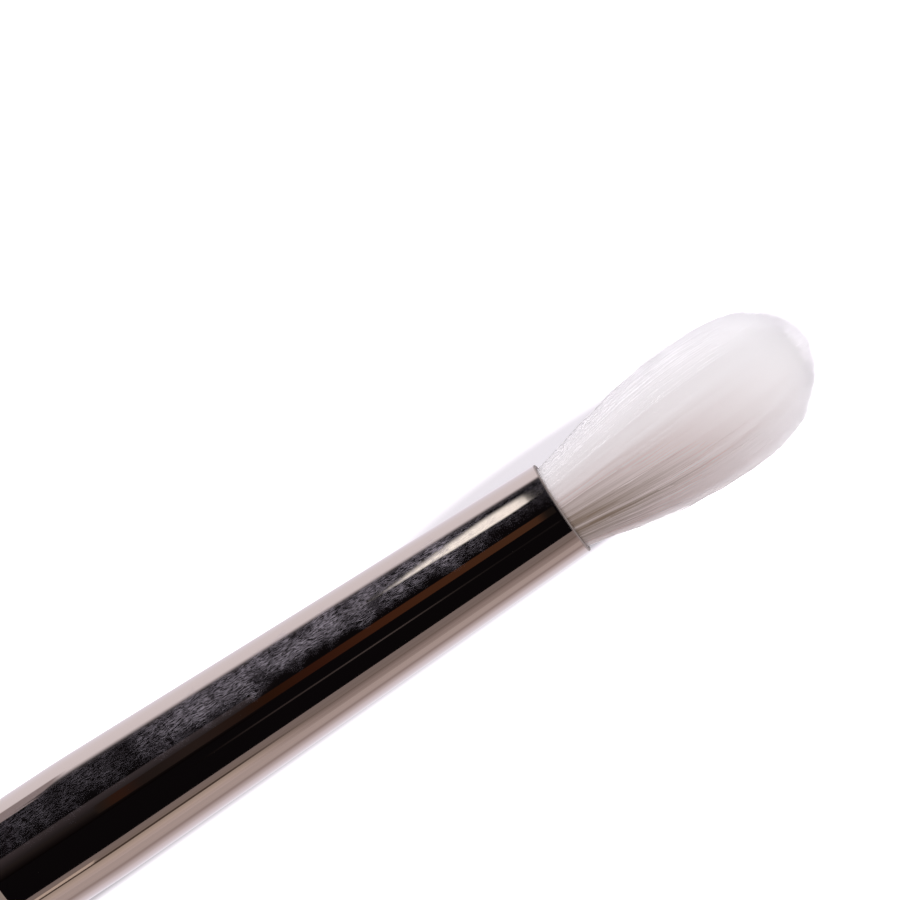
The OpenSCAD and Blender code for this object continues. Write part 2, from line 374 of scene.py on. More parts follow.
def handling_marks():
    """Fine scratches and dust that handling leaves on two sides of a polished round piece."""
    name = "Handling marks"
    if name in bpy.data.node_groups:
        return bpy.data.node_groups[name]
    tree, given, result = group(name, {"Middle": 0.0, "Reach": 0.02, "Spread": 0.5},
                                {"Mask": "NodeSocketFloat", "Height": "NodeSocketFloat"})
    parts = object_place(tree)[1]
    turn = maths(tree, "ARCTAN2", parts["Y"], maths(tree, "SUBTRACT", parts["Z"], AXIS_Z))
    around = maths(tree, "MULTIPLY", turn, REAR_RADIUS)
    flat = node(tree, "ShaderNodeCombineXYZ", {"X": parts["X"], "Y": around}).outputs[0]
    swirl = noise(tree, flat, 900.0, 1.0)
    sway = 0.5 * MM
    bent = vector_maths(tree, "MULTIPLY", swirl["Color"], (sway, sway, 0.0))[0]
    spot = vector_maths(tree, "ADD", flat, bent)[0]
    strokes = 0.0
    for lean, seed, fine in ((1.25, 0.0, 13000.0), (-1.05, 0.31, 15000.0), (1.75, 0.57, 11000.0)):
        turned = node(tree, "ShaderNodeMapping", {"Vector": spot, "Location": (seed, seed, 0),
                                                  "Rotation": (0, 0, lean), "Scale": (0.16, 1, 1)})
        scratches = ranged(tree, noise(tree, turned.outputs["Vector"], fine, 1.0)["Fac"], 0.48, 0.73)
        strokes = maths(tree, "MAXIMUM", scratches, strokes)
    sides = maths(tree, "COSINE", maths(tree, "MULTIPLY_ADD", turn, 2.0, -1.2))
    cloud = noise(tree, flat, 600.0, 2.0)["Fac"]
    on_side = ranged(tree, maths(tree, "MULTIPLY_ADD", cloud, 0.7, sides), 1.0, 1.7, smooth=True)
    far = maths(tree, "ABSOLUTE", maths(tree, "SUBTRACT", parts["X"], given.outputs["Middle"]))
    share = maths(tree, "DIVIDE", far, given.outputs["Reach"])
    along = ranged(tree, share, 0.5, 1.0, 1.0, 0.25, smooth=True)
    patch = maths(tree, "MULTIPLY", on_side, along)
    mask = maths(tree, "MULTIPLY", strokes, maths(tree, "MULTIPLY", patch, given.outputs["Spread"]))
    tree.links.new(mask, result.inputs["Mask"])
    tree.links.new(maths(tree, "MULTIPLY", swirl["Fac"], patch), result.inputs["Height"])
    return tree


def marked(tree, middle, reach, spread):
    """The outputs of the handling marks on one piece, round their middle on the X axis."""
    made = node(tree, "ShaderNodeGroup", node_tree=handling_marks())
    for name, value in (("Middle", middle), ("Reach", reach), ("Spread", spread)):
        made.inputs[name].default_value = value
    return made.outputs


def hair_material(settings):
    """Fine white hair, with painted shade near the ferrule from its tone. Light passes through a hair to its
    far side.
    """
    made, tree, shader = material("White hair", Roughness=0.5, Specular_IOR_Level=0.2)
    tone = node(tree, "ShaderNodeAttribute", attribute_name="tone").outputs["Fac"]
    colours = ramp(tree, tone, ((0.0, settings.shade), (0.5, settings.middle), (1.0, settings.tint)))
    tree.links.new(colours, shader.inputs["Base Color"])
    facing = node(tree, "ShaderNodeNewGeometry").outputs["Normal"]
    turned = vector_maths(tree, "MULTIPLY", facing, (-1, -1, -1))[0]
    dimmed = blended(tree, 0.13, colours, (0, 0, 0))
    around = node(tree, "ShaderNodeBsdfTranslucent", {"Color": dimmed, "Normal": turned})
    show(tree, node(tree, "ShaderNodeAddShader", {0: shader.outputs[0], 1: around.outputs[0]}))
    return made


def metal_material(settings):
    """Polished nickel plating with dust and marks of handling, and bare metal at the cut edge."""
    made, tree, shader = material("Nickel plating", Metallic=1.0, Roughness=0.045)
    edge = node(tree, "ShaderNodeLayerWeight", {"Blend": 0.5})
    grazing = ranged(tree, edge.outputs["Facing"], 0.72, 1.0, smooth=True)
    tree.links.new(blended(tree, grazing, settings.metal, (0.88, 0.85, 0.88)), shader.inputs["Base Color"])
    worn = marked(tree, MOUTH_X - 17 * MM, 15 * MM, 1.5)
    bump = node(tree, "ShaderNodeBump", {"Height": worn["Height"], "Strength": 0.3, "Distance": 0.01 * MM})
    tree.links.new(bump.outputs["Normal"], shader.inputs["Normal"])
    dust = node(tree, "ShaderNodeBsdfDiffuse", {"Color": (0.64, 0.58, 0.68, 1)})
    dull = node(tree, "ShaderNodeBsdfGlossy", {"Color": (0.66, 0.62, 0.68, 1), "Roughness": 0.42})
    film = node(tree, "ShaderNodeMixShader", {0: 0.5, 1: dust.outputs[0], 2: dull.outputs[0]})
    both = node(tree, "ShaderNodeMixShader", {0: worn["Mask"], 1: shader.outputs[0], 2: film.outputs[0]})
    at_rim = ranged(tree, object_place(tree)[1]["X"], MOUTH_X - 0.17 * MM, MOUTH_X - 0.05 * MM, 0.0, 0.85)
    bare = node(tree, "ShaderNodeBsdfDiffuse", {"Color": (0.32, 0.275, 0.26, 1)})
    show(tree, node(tree, "ShaderNodeMixShader", {0: at_rim, 1: both.outputs[0], 2: bare.outputs[0]}))
    return made


def lacquer_material(settings):
    """Gloss black lacquer over turned wood, with a faint orange peel and marks of handling."""
    made, tree, shader = material("Black lacquer", Coat_Weight=1.0, Coat_Roughness=0.04)
    place = object_place(tree)[0]
    along = node(tree, "ShaderNodeMapping", {"Vector": place, "Scale": (0.06, 1, 1)}).outputs["Vector"]
    grain = noise(tree, along, 1400.0, 5.0)["Fac"]
    tree.links.new(blended(tree, grain, settings.lacquer, (0.03, 0.024, 0.022)), shader.inputs["Base Color"])
    worn = marked(tree, FERRULE_LOW.x - 25 * MM, 20 * MM, 0.35)
    tree.links.new(ranged(tree, worn["Mask"], 0.0, 1.0, 0.22, 0.4), shader.inputs["Roughness"])
    peel = noise(tree, place, 900.0, 1.0)["Fac"]
    bump = node(tree, "ShaderNodeBump", {"Height": peel, "Strength": 0.12, "Distance": 0.02 * MM})
    tree.links.new(bump.outputs["Normal"], shader.inputs["Normal"])
    return made


def epoxy_material():
    """Clear amber adhesive with small cloudy places."""
    made, tree, shader = material("Amber epoxy", Roughness=0.2, Specular_IOR_Level=0.55)
    cloud = noise(tree, object_place(tree)[0], 1500.0, 3.0)["Fac"]
    tree.links.new(blended(tree, cloud, (0.55, 0.34, 0.10), (0.82, 0.66, 0.36)), shader.inputs["Base Color"])
    return made


def one_hair(cuts):
    """One straight hair of unit length: three sides, cut across into stations, closed to a point."""
    deselect()
    bpy.ops.mesh.primitive_cylinder_add(vertices=3, radius=1, depth=1, end_fill_type="NOTHING",
                                        location=(0, 0, 0.5))
    hair = bpy.context.object
    bpy.ops.object.transform_apply(location=True, rotation=True, scale=True)
    long_edges = [abs(hair.data.vertices[e.vertices[0]].co.z - hair.data.vertices[e.vertices[1]].co.z) > 0.5
                  for e in hair.data.edges]
    bpy.ops.object.mode_set(mode="EDIT")
    bpy.ops.mesh.select_mode(type="EDGE")
    bpy.ops.mesh.select_all(action="DESELECT")
    bpy.ops.object.mode_set(mode="OBJECT")
    for edge, chosen in zip(hair.data.edges, long_edges):
        edge.select = chosen
    bpy.ops.object.mode_set(mode="EDIT")
    bpy.ops.mesh.subdivide(number_cuts=cuts)
    bpy.ops.mesh.select_mode(type="VERT")
    bpy.ops.mesh.select_all(action="DESELECT")
    bpy.ops.object.mode_set(mode="OBJECT")
    for vertex in hair.data.vertices:
        vertex.select = vertex.co.z > 1 - 1e-4
    bpy.ops.object.mode_set(mode="EDIT")
    bpy.ops.mesh.merge(type="CENTER")
    bpy.ops.object.mode_set(mode="OBJECT")
    return hair


def head_reach(settings, ferrule, out):
    """Radius of the outermost hairs at distances out of the mouth, and inside the bore below zero."""
    bore = ferrule.mouth_radius - ferrule.wall - 0.05 * MM
    slope = (REAR_RADIUS - ferrule.mouth_radius) / ferrule.cone
    share = np.clip(out / settings.fullest, 0, 1)
    swell = bore + (settings.radius - bore) * np.sin(np.pi / 2 * share ** 1.1)
    return np.where(out < 0, bore - slope * out, swell)


def tip_lean(settings, out):
    """How far the hair leans to one side at distances out of the mouth."""
    return settings.lean * np.clip(out / TUFT_LENGTH, 0, 1) ** 2


def hair_paths(settings, ferrule, share, turn, lock_share, lock_turn, stations, draw):
    """Middle lines of the hairs: arrays of distance out of the mouth, and of Y and Z off the axis."""
    count = len(share)
    dome = TUFT_LENGTH - settings.fullest
    edge_share, lean_power = 0.97, 1.5
    lean = (edge_share * share) ** lean_power
    rise = (1 - lean ** 2) ** (1 / DOME_POWER)
    uneven, proud = 0.9, 0.12
    short = (uneven * draw.random(count) ** 2 - proud) * MM
    tip = settings.fullest + dome * rise - short
    out = stations[None] * tip[:, None]
    out[:, stations < 0] = settings.root_slice - ROOT_END
    past = np.clip((out - settings.fullest) / np.maximum(tip[:, None] - settings.fullest, 1e-6), 0, 1)
    reach = head_reach(settings, ferrule, out)
    closing = 1 + (lean / share - 1)[:, None] * past ** 2

    def off_axis(s, t):
        r = s[:, None] * reach * closing
        return r * np.cos(t)[:, None], r * np.sin(t)[:, None]

    y, z = off_axis(share, turn)
    lock_y, lock_z = off_axis(lock_share, lock_turn)
    pull = 0.07
    y += (lock_y - y) * pull
    z += (lock_z - z) * pull
    loose_after = 4 * MM
    free = np.clip(out / loose_after, 0, 1)
    most_stray, rarity = 0.03, 25
    stray = 1 + most_stray * (draw.random(count) ** rarity)[:, None] * free
    y = y * stray + tip_lean(settings, out)
    z *= stray
    wave_size, wavier_from, half_waves = 0.05 * MM, 0.97, 2.2
    wave = wave_size * (1 + 3 * (draw.random(count) > wavier_from)[:, None])
    phase = draw.random((2, count, 1)) * math.tau
    along = half_waves * np.clip(out / TUFT_LENGTH, 0, 1) * math.pi
    y += wave * free * np.sin(along + phase[0])
    z += wave * free * np.sin(along + phase[1])
    return out, y, z


def root_depth(out):
    """0 at the ferrule, rising to 1 where the painted root shade ends."""
    unshaded_from = 18 * MM
    return np.clip(out / unshaded_from, 0, 1)


def root_shade_side(turn):
    """1 on the side where the painted shade at the roots is deepest, falling to 0 round the tuft."""
    most_shaded = math.radians(120)
    return (0.5 + 0.5 * np.cos(turn - most_shaded)) ** 6


def painted_root_tone(out, turn):
    """How light the hair is painted: painted shade near the ferrule, deepest on one side, and a little at
    the tip.
    """
    depth = root_depth(out)
    tip_from, tip_run = 14.5 * MM, 4 * MM
    tip = np.clip((out - tip_from) / tip_run, 0, 1)
    # Painted shade near the ferrule, most on one side, and below it a little painted shade at the tip.
    near = 0.9 * (1 - depth ** 1.2) * root_shade_side(turn) + 0.07 * (1 - depth) ** 1.5
    return 0.985 - near - 0.02 * tip ** 2


def lock_tone(settings, out, turn, near, draw):
    """How much darker single locks and hairs are, at random, most near the ferrule within the painted root
    shade, where the streaks stand for shade between the locks.
    """
    lock = draw.random(settings.lock_count)[near]
    own = draw.random(len(turn))
    waves = zip((17, 23, 31, 41), draw.random(4) * math.tau)
    broad = sum(np.sin(number * turn + phase) for number, phase in waves) / 4
    strength = 0.03 + 0.4 * root_shade_side(turn)[:, None] * (1 - root_depth(out)) ** 0.9
    return (0.5 * lock + 0.4 * own + 0.55 * broad - 0.45)[:, None] * strength


def head_form(settings, ferrule, out, y, z):
    """Directions that the smooth outer form of the head faces, at points of the hair."""
    step = 0.05 * MM
    ahead_of, behind = (head_reach(settings, ferrule, out + k * step) for k in (1, -1))
    slope = (ahead_of - behind) / (2 * step)
    dome = TUFT_LENGTH - settings.fullest
    past = np.clip((out - settings.fullest) / dome, 0, 1)
    r = np.hypot(y, z) + 1e-9
    front = out < settings.fullest
    closing, closing_power = 1.6, 1.2
    ahead = np.where(front, -slope, closing * past ** closing_power / dome)
    outward = np.where(front, 1.0, 2 * r / settings.radius ** 2)
    faces = np.stack([ahead, outward * y / r, outward * z / r], 2)
    return faces / np.linalg.norm(faces, axis=2, keepdims=True)


def store_tone(mesh, tone):
    """Keeps the tone, which carries the painted shade, on the points of a mesh, for the hair material."""
    attribute = mesh.attributes.new("tone", "FLOAT", "POINT")
    attribute.data.foreach_set("value", np.clip(tone, 0, 1).astype(np.float32))


def packed_core(settings, ferrule, finish):
    """The dense inside of the tuft with its bonded roots, as one turned form under the hair."""
    share = 0.90
    centre = 0.02 * MM
    dome = TUFT_LENGTH - settings.fullest - 0.6 * MM
    bore = [(s, share * float(head_reach(settings, ferrule, -s))) for s in np.linspace(ROOT_END, 0, 6)]
    outs = settings.fullest * np.linspace(0, 1, 13)[1:]
    swell = [(-out, share * float(head_reach(settings, ferrule, out))) for out in outs]
    cap = [(-(settings.fullest + dome * (1 - a ** 2) ** (1 / DOME_POWER)), share * settings.radius * a)
           for a in np.cos(np.linspace(0, math.pi / 2, 22))[1:-1]]
    profile = [(ROOT_END, centre)] + bore + swell + cap + [(-(settings.fullest + dome), centre)]
    piece = turned_piece("packed_core", profile, 96)
    mesh = piece.data
    points = np.empty(3 * len(mesh.vertices))
    mesh.vertices.foreach_get("co", points)
    x, y, z = points.reshape(-1, 3).T
    store_tone(mesh, painted_root_tone(x - MOUTH_X, np.arctan2(z - AXIS_Z, y)))
    y += tip_lean(settings, x - MOUTH_X)
    mesh.vertices.foreach_set("co", points)
    mesh.materials.append(finish)
    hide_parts("bristles")


def locks_round(settings, shares, turn):
    """The number of the lock that each hair gathers in, and the locks' places in the tuft."""
    locks = settings.lock_count
    lock_share = np.sqrt((np.arange(locks) + 0.5) / locks)
    lock_turn = np.arange(locks) * math.pi * (3 - math.sqrt(5))
    spots = np.stack([lock_share * np.cos(lock_turn), lock_share * np.sin(lock_turn)], 1)
    here = np.stack([shares * np.cos(turn), shares * np.sin(turn)], 1)
    near = np.argmin(((here[:, None, :] - spots[None]) ** 2).sum(2), 1)
    return near, lock_share[near], lock_turn[near]


def hair_piece(name, settings, ferrule, shares, draw, finish, stations):
    """Copies the one hair along every path, and joins the copies into one mesh."""
    hair = one_hair(len(stations) - 2)
    count = len(shares)
    turn = draw.random(count) * math.tau - math.pi
    near, lock_share, lock_turn = locks_round(settings, shares, turn)
    form = np.array([v.co for v in hair.data.vertices])
    levels = np.unique(np.round(form[:, 2], 4))
    level_of = np.searchsorted(levels, np.round(form[:, 2], 4))
    out, y, z = hair_paths(settings, ferrule, shares, turn, lock_share, lock_turn, stations[:, 0], draw)

    thinnest, spread, twist = 0.85, 0.3, 0.12
    width = settings.width / 2 * (thinnest + spread * draw.random(count))[:, None] * stations[None, :, 1]
    roll = turn + math.pi / 2 + twist * draw.standard_normal(count)
    angle = np.arctan2(form[:, 1], form[:, 0])[None] + roll[:, None]
    ring = (form[:, 0] ** 2 + form[:, 1] ** 2 > 0.25)[None]
    w = width[:, level_of] * ring
    points = np.stack([MOUTH_X + out[:, level_of], y[:, level_of] + w * np.cos(angle),
                       AXIS_Z + z[:, level_of] + w * np.sin(angle)], 2)
    own = np.stack([np.zeros_like(angle), ring * np.cos(angle), ring * np.sin(angle)], 2)
    own_share = 0.04
    faces_to = head_form(settings, ferrule, out, y, z)[:, level_of] + own_share * own

    corners = [tuple(p.vertices) for p in hair.data.polygons]
    faces = [tuple(v + len(form) * n for v in c) for n in range(count) for c in corners]
    bpy.data.objects.remove(hair)
    mesh = bpy.data.meshes.new(name)
    mesh.from_pydata(points.reshape(-1, 3).tolist(), [], faces)
    mesh.update()
    tone = painted_root_tone(out, turn[:, None]) - lock_tone(settings, out, turn, near, draw)
    store_tone(mesh, tone[:, level_of].reshape(-1))
    mesh.materials.append(finish)
    mesh.shade_smooth()
    mesh.normals_split_custom_set_from_vertices(faces_to.reshape(-1, 3).tolist())
    piece = bpy.data.objects.new(name, mesh)
    bpy.context.scene.collection.objects.link(piece)
    settle(piece, name)
    piece.visible_shadow = piece.visible_diffuse = False
    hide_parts("bristles")


class BRUSH_OT_bristles(bpy.types.Operator):
    """Makes the tuft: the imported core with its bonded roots, the outer hairs and the tip hairs"""
    bl_idname = "brush.bristles"
    bl_label = "Bristles"

    def execute(self, context):
        settings = context.scene.brush_hair
        ferrule = context.scene.brush_ferrule
        finish = hair_material(settings)
        draw = np.random.default_rng(12)
        edge = 0.86
        outer = 1 - (1 - edge) * draw.random(settings.outer_count) ** (1 / 3)
        core = edge * np.sqrt(draw.random(settings.core_count)) + 0.003
        packed_core(settings, ferrule, finish)
        for number, part in enumerate(np.array_split(outer, 3), 1):
            hair_piece(f"outer_hair_{number}", settings, ferrule, part, draw, finish, LONG_HAIR)
        hair_piece("tip_hair", settings, ferrule, core, draw, finish, SHORT_HAIR)
        return {"FINISHED"}


class BRUSH_OT_ferrule(bpy.types.Operator):
    """Makes the polished metal ferrule with its crimp rings"""
    bl_idname = "brush.ferrule"
    bl_label = "Ferrule"

    def execute(self, context):
        settings = context.scene.brush_ferrule
        piece = turned_piece("ferrule_shell", ferrule_profile(settings), 256)
        piece.data.materials.append(metal_material(settings))
        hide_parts("ferrule")
        return {"FINISHED"}


class BRUSH_OT_handle(bpy.types.Operator):
    """Makes the turned and lacquered handle with its tenon"""
    bl_idname = "brush.handle"
    bl_label = "Handle"

    def execute(self, context):
        settings = context.scene.brush_handle
        profile = handle_profile(settings, context.scene.brush_ferrule)
        piece = turned_piece("turned_handle", profile, 160)
        piece.data.materials.append(lacquer_material(settings))
        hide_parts("handle")
        return {"FINISHED"}


class BRUSH_OT_bonds(bpy.types.Operator):
    """Gives the adhesive inside the ferrule its finish"""
    bl_idname = "brush.bonds"
    bl_label = "Bonds"

    def execute(self, context):
        finish = epoxy_material()
        for name in ("glue_plug", "tenon_glue"):
            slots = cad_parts[name].data.materials
            slots.clear()
            slots.append(finish)
        return {"FINISHED"}


def glow_material(name, light):
    """A plainly glowing finish."""
    made = bpy.data.materials.new(name)
    made.use_nodes = True
    tree = made.node_tree
    tree.nodes.clear()
    glow = node(tree, "ShaderNodeEmission", {"Color": (*light, 1)})
    end = node(tree, "ShaderNodeOutputMaterial")
    tree.links.new(glow.outputs[0], end.inputs["Surface"])
    return made, tree, glow


def card_place(tree):
    """Place on a card: X along it and Y up it, from 0 to 1."""
    place = node(tree, "ShaderNodeTexCoord")
    return node(tree, "ShaderNodeSeparateXYZ", {"Vector": place.outputs["UV"]}).outputs


def graded_glow(name, direction, stops):
    """A glow that changes along a card, or up it."""
    made, tree, glow = glow_material(name, (0, 0, 0))
    tree.links.new(ramp(tree, card_place(tree)[direction], stops), glow.inputs["Color"])
    return made


def lamp_glow():
    """The glow of the long lamp card, seen only in reflections: it tapers away from the hair, crisp above
    and soft below.
    """
    made, tree, glow = glow_material("lamp glow", (1.38, 1.28, 1.20))
    parts = card_place(tree)
    low = ((0.0, 0.75), (0.07, 0.68), (0.2, 0.53), (0.3, 0.41), (0.48, 0.29), (0.57, 0.22), (0.66, 0.20),
           (0.81, 0.23), (0.86, 0.42), (0.91, 0.78), (0.94, 1.0))
    high = ((0.0, 0.70), (0.11, 0.765), (0.285, 0.784), (0.484, 0.854), (0.687, 0.902), (0.765, 0.903),
            (0.84, 0.855), (1.0, 0.8))
    above, below = (maths(tree, "SUBTRACT", parts["Y"],
                          ramp(tree, parts["X"], [(place, (v, v, v)) for place, v in stops]))
                    for stops in (low, high))
    soft = ranged(tree, above, -0.115, 0.205, smooth=True)
    crisp = ranged(tree, below, 0.06, -0.10, smooth=True)
    tree.links.new(maths(tree, "MULTIPLY", soft, crisp), glow.inputs["Strength"])
    return made


def wall_glow():
    """The glow of the wall card, seen only in reflections: streaked along the brush, and changing from its
    front to its rear part.
    """
    made, tree, glow = glow_material("wall glow", (0, 0, 0))
    parts = card_place(tree)
    fore = ramp(tree, parts["Y"], ((0.03, (0.40, 0.31, 0.29)), (0.24, (0.33, 0.25, 0.235)),
                                   (0.40, (0.26, 0.195, 0.18)), (0.46, (0.19, 0.14, 0.125)),
                                   (0.53, (0.23, 0.175, 0.16)), (1.0, (0.235, 0.18, 0.17))))
    rear = ramp(tree, parts["Y"], ((0.03, (0.58, 0.46, 0.44)), (0.28, (0.54, 0.42, 0.37)),
                                   (0.455, (0.45, 0.35, 0.30)), (0.49, (0.06, 0.04, 0.03)),
                                   (0.56, (0.06, 0.04, 0.03)), (0.60, (0.24, 0.18, 0.16)),
                                   (1.0, (0.235, 0.18, 0.17))))
    change = ranged(tree, parts["X"], 0.515, 0.545, smooth=True)
    tree.links.new(blended(tree, change, fore, rear), glow.inputs["Color"])
    flat = node(tree, "ShaderNodeCombineXYZ", {"X": parts["X"], "Y": parts["Y"]})
    long = node(tree, "ShaderNodeMapping", {"Vector": flat.outputs[0], "Scale": (1.5, 26, 1)})
    streak = noise(tree, long.outputs["Vector"], 1.0, 2.0)["Fac"]
    tree.links.new(ranged(tree, streak, 0.25, 0.75, 0.84, 1.16), glow.inputs["Strength"])
    return made


def card(name, centre, size, finish, facing=None):
    """A glowing card that only polished surfaces see. It faces the brush squarely, or a given point."""
    deselect()
    bpy.ops.mesh.primitive_plane_add(size=1, location=centre)
    made = bpy.context.object
    made.name = name
    made.scale = (*size, 1)
    look = Vector(facing or (centre[0], 0, AXIS_Z)) - Vector(centre)
    made.rotation_euler = look.to_track_quat("Z", "Y").to_euler()
    if isinstance(finish, tuple):
        finish = glow_material(name, finish)[0]
    made.data.materials.append(finish)
    made.visible_camera = made.visible_diffuse = made.visible_shadow = False
    made.visible_transmission = made.visible_volume_scatter = False


def painted_mouth_shadow(tree, place, glow):
    """The table's glow beside the ferrule's mouth, less in a long soft painted shadow."""
    half_length, half_width = 16.6 * MM, 2.33 * MM
    spot = node(tree, "ShaderNodeMapping", {"Vector": place, "Location":
                                            (-MOUTH_X - 1.9 * MM, -2.19 * MM, 0)})
    share = vector_maths(tree, "MULTIPLY", spot.outputs[0], (1 / half_length, 1 / half_width, 0))[0]
    off = vector_maths(tree, "LENGTH", share)["Value"]
    return ranged(tree, off, 0.72, 1.55, 0.68, glow, smooth=True)


def painted_brush_shadow(tree, parts, glow):
    """The table's glow along the brush, less in a painted shadow band that narrows towards both of its ends.
    """
    widening, ending = 0.0324, 0.5
    level = maths(tree, "ABSOLUTE", maths(tree, "ADD", parts["Y"], 2 * MM))
    wider = maths(tree, "MULTIPLY_ADD", parts["X"], -widening, 1.47 * MM + widening * MOUTH_X)
    front = maths(tree, "MULTIPLY_ADD", parts["X"], -ending, 2.5 * MM + ending * MOUTH_X)
    tail = maths(tree, "MULTIPLY_ADD", parts["X"], ending, -ending * HANDLE_LOW.x)
    ends = maths(tree, "MINIMUM", front, tail)
    half = maths(tree, "MINIMUM", maths(tree, "MINIMUM", wider, 2.75 * MM), ends)
    return ranged(tree, maths(tree, "SUBTRACT", level, half), -0.3 * MM, 0.9 * MM, 0.4, glow)


def painted_table_reflection(tree, parts):
    """A painted reflection of the table, which polished surfaces see in its place: bands along the brush,
    and a darker corner behind.
    """
    reach = 100 * MM
    across = ranged(tree, parts["Y"], -reach, reach)
    stops = ((-60, (0.50, 0.40, 0.38)), (-40, (0.52, 0.41, 0.39)), (-26, (0.48, 0.385, 0.37)),
             (-21, (0.36, 0.275, 0.26)), (-18.5, (0.40, 0.31, 0.30)), (-14.4, (0.56, 0.46, 0.47)),
             (-12, (0.64, 0.54, 0.55)), (-10, (0.79, 0.68, 0.73)), (-7, (0.86, 0.78, 0.85)),
             (-4, (0.92, 0.87, 0.92)), (6, (0.87, 0.80, 0.87)), (11, (0.86, 0.77, 0.80)),
             (27, (0.86, 0.77, 0.80)), (37, (0.55, 0.48, 0.50)), (50, (0.23, 0.20, 0.21)),
             (64, (0.10, 0.088, 0.092)), (90, (0.035, 0.03, 0.033)))
    sheet = ramp(tree, across, [(0.5 + y * MM / (2 * reach), tint) for y, tint in stops])
    slant = maths(tree, "MULTIPLY_ADD", parts["Y"], 0.19, parts["X"])
    rear = ranged(tree, slant, 34 * MM, 32.6 * MM)
    beyond = ranged(tree, parts["Y"], 23 * MM, 26 * MM)
    corner = maths(tree, "MULTIPLY", rear, beyond)
    return node(tree, "ShaderNodeEmission", {"Color": blended(tree, corner, sheet, (0.325, 0.26, 0.265))})


def table_material(settings):
    """A pale, softly glowing table with the brush's shadow painted into its glow. Polished surfaces see a
    painted reflection of it instead, dimmer.
    """
    made, tree, shader = material("Pale table", Roughness=0.8, Specular_IOR_Level=0.1)
    shader.inputs["Base Color"].default_value = (*settings.table, 1)
    shader.inputs["Emission Color"].default_value = (0.98, 0.94, 1.0, 1)
    place, parts = object_place(tree)
    # The glow with painted shadows of the brush in it.
    glow = maths(tree, "MINIMUM", painted_mouth_shadow(tree, place, settings.glow),
                 painted_brush_shadow(tree, parts, settings.glow))
    path = node(tree, "ShaderNodeLightPath").outputs
    eye = ranged(tree, path["Is Camera Ray"], 0.0, 1.0, 0.12, 1.0)
    tree.links.new(maths(tree, "MULTIPLY", glow, eye), shader.inputs["Emission Strength"])
    seen = painted_table_reflection(tree, parts)
    show(tree, node(tree, "ShaderNodeMixShader", {0: path["Is Glossy Ray"], 1: shader.outputs[0],
                                                  2: seen.outputs[0]}))
    return made


def soft_light(name, place, target, size, power):
    """A square soft light that lights the scene but doesn't show in polished surfaces."""
    lamp = bpy.data.lights.new(name, "AREA")
    lamp.shape = "RECTANGLE"
    lamp.size, lamp.size_y = size
    lamp.energy = power
    lamp.color = (1.0, 0.98, 0.99)
    made = bpy.data.objects.new(name, lamp)
    made.location = place
    made.rotation_euler = (Vector(target) - Vector(place)).to_track_quat("-Z", "Y").to_euler()
    made.visible_glossy = False
    bpy.context.scene.collection.objects.link(made)


def studio_world(settings):
    """A pale room for the eye, soft light on the brush, and a painted dark ceiling that only reflections
    see.
    """
    world = bpy.data.worlds.new("Studio")
    world.use_nodes = True
    tree = world.node_tree
    tree.nodes.clear()
    path = node(tree, "ShaderNodeLightPath").outputs
    soft = tuple(settings.ambient * c for c in (1.0, 0.95, 0.97))
    lit = blended(tree, path["Is Camera Ray"], soft, (0.97, 0.965, 0.975))
    seen = blended(tree, path["Is Glossy Ray"], lit, (0.004, 0.003, 0.0035))
    glow = node(tree, "ShaderNodeBackground", {"Color": seen})
    end = node(tree, "ShaderNodeOutputWorld")
    tree.links.new(glow.outputs[0], end.inputs["Surface"])
    bpy.context.scene.world = world


def table_top(settings):
    """The table that the brush lies on."""
    deselect()
    bpy.ops.mesh.primitive_plane_add(size=4, location=(0, 0, 0))
    table = bpy.context.object
    table.name = "table"
    table.data.materials.append(table_material(settings))


def studio_camera(settings):
    """The camera above the brush. It puts the ferrule's mouth at its pixel of the picture."""
    picture, mouth_right, mouth_down = 900, 562.9, 507.3
    right = Vector((math.cos(settings.heading), -math.sin(settings.heading), 0))
    up = Vector((math.sin(settings.heading), math.cos(settings.heading), 0))
    back = Vector((math.sin(settings.tilt), 0, math.cos(settings.tilt)))
    pixel = settings.view_width / picture
    target = Vector((MOUTH_X, 0, AXIS_Z))
    target += right * (picture / 2 - mouth_right) * pixel - up * (picture / 2 - mouth_down) * pixel
    side = (right - back * right.dot(back)).normalized()
    turn = Matrix((side, back.cross(side), back)).transposed().to_4x4()
    lens = bpy.data.cameras.new("Camera")
    lens.lens = lens.sensor_width * settings.distance / settings.view_width
    lens.clip_start, lens.clip_end = 0.01, 10
    camera = bpy.data.objects.new("Camera", lens)
    camera.matrix_world = Matrix.Translation(target + back * settings.distance) @ turn
    bpy.context.scene.collection.objects.link(camera)
    bpy.context.scene.camera = camera


def studio_lights():
    """Three soft lights round the head of the brush."""
    head = (MOUTH_X + 9 * MM, 0, AXIS_Z)
    soft_light("window", (0.05, 0.26, 0.34), head, (0.24, 0.24), 0.435)
    soft_light("fill", (0.05, -0.40, 0.20), head, (0.30, 0.20), 0.445)
    soft_light("front", (0.48, 0.02, 0.12), head, (0.30, 0.20), 0.06)


